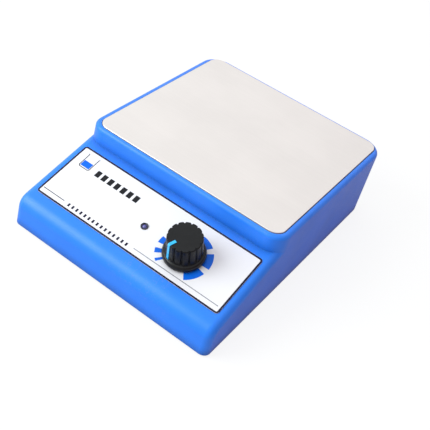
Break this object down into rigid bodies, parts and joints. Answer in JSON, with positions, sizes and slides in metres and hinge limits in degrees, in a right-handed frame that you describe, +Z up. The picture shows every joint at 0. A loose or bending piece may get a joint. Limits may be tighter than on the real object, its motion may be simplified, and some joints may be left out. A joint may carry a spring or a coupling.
{
  "type": "magnetic stirrer",
  "caption": "Compact laboratory magnetic stirrer with a moulded case, a raised square steel work plate and a sloped control panel with an indicator light and a rotary speed knob.",
  "frame": {"origin": "on the bench, under the middle of the case", "axes": "+X right as seen by the user at the knob, +Y to the back, +Z up"},
  "size_m": [0.13, 0.18, 0.045],
  "materials": {
    "case_blue": "satin moulded ABS, royal blue",
    "cover_plastic": "satin moulded ABS, blue",
    "plate_steel": "fine brushed stainless steel",
    "adhesive": "double-sided adhesive film",
    "label_film": "satin printed film, white",
    "knob_black": "satin black moulded plastic",
    "pointer_cyan": "bright cyan inlay",
    "led_plastic": "translucent violet-blue lens",
    "bezel_black": "black bezel",
    "foot_rubber": "soft black rubber",
    "screw_steel": "zinc plated steel",
    "turned_metal": "nickel plated steel",
    "pot_case": "tinned sheet steel",
    "lead_metal": "tinned wire",
    "board_green": "green solder mask",
    "chip_black": "black moulded package",
    "capacitor_sleeve": "printed sleeve, dark",
    "header_white": "white nylon",
    "motor_steel": "zinc plated steel",
    "motor_plastic": "black moulded end cap",
    "magnet_dark": "sintered ferrite",
    "magnet_nickel": "nickel plated magnet",
    "bearing_bronze": "sintered bronze",
    "brush_carbon": "carbon",
    "copper": "copper",
    "carrier_plastic": "white moulded nylon",
    "jack_plastic": "black moulded plastic",
    "wire_red_black": "stranded copper in coloured PVC"
  },
  "bodies": {
    "case": {"upper_case": "case_blue", "bottom_cover": "cover_plastic", "top_plate": "plate_steel", "plate_adhesive": "adhesive", "control_label": "label_film", "led_lens": "led_plastic", "led_bezel": "bezel_black", "led_leads": "lead_metal", "foot_front_left": "foot_rubber", "foot_front_right": "foot_rubber", "foot_rear_left": "foot_rubber", "foot_rear_right": "foot_rubber", "cover_screws": "screw_steel", "pot_body": "pot_case", "pot_bushing": "turned_metal", "pot_washer": "turned_metal", "pot_nut": "turned_metal", "pot_terminals": "lead_metal", "main_pcb": "board_green", "controller_chip": "chip_black", "voltage_regulator": "chip_black", "capacitors": "capacitor_sleeve", "wire_headers": "header_white", "pcb_screws": "screw_steel", "motor_can": "motor_steel", "motor_end_cap": "motor_plastic", "motor_tabs": "lead_metal", "field_magnets": "magnet_dark", "upper_bearing": "bearing_bronze", "lower_bearing": "bearing_bronze", "motor_brushes": "brush_carbon", "motor_bracket": "motor_steel", "bracket_screws": "screw_steel", "motor_screws": "screw_steel", "dc_jack": "jack_plastic", "jack_pin": "turned_metal", "jack_nut": "turned_metal", "jack_wires": "wire_red_black", "motor_wires": "wire_red_black", "pot_wires": "wire_red_black", "led_wires": "wire_red_black"},
    "knob": {"speed_knob": "knob_black", "knob_pointer": "pointer_cyan", "pot_shaft": "turned_metal"},
    "rotor": {"rotor_shaft": "turned_metal", "rotor_core": "copper", "commutator": "copper", "magnet_carrier": "carrier_plastic", "drive_magnets": "magnet_nickel"}
  },
  "joints": [
    {"name": "knob_turn", "type": "hinge", "parent": "case", "child": "knob", "pos_m": [0.02645, -0.06384, 0.02624], "axis": [0, 0.2865, -0.9581], "range_deg": [0, 300]},
    {"name": "rotor_spin", "type": "hinge", "parent": "case", "child": "rotor", "pos_m": [0, 0.02605, 0.03], "axis": [0, 0, 1], "continuous": true}
  ]
}
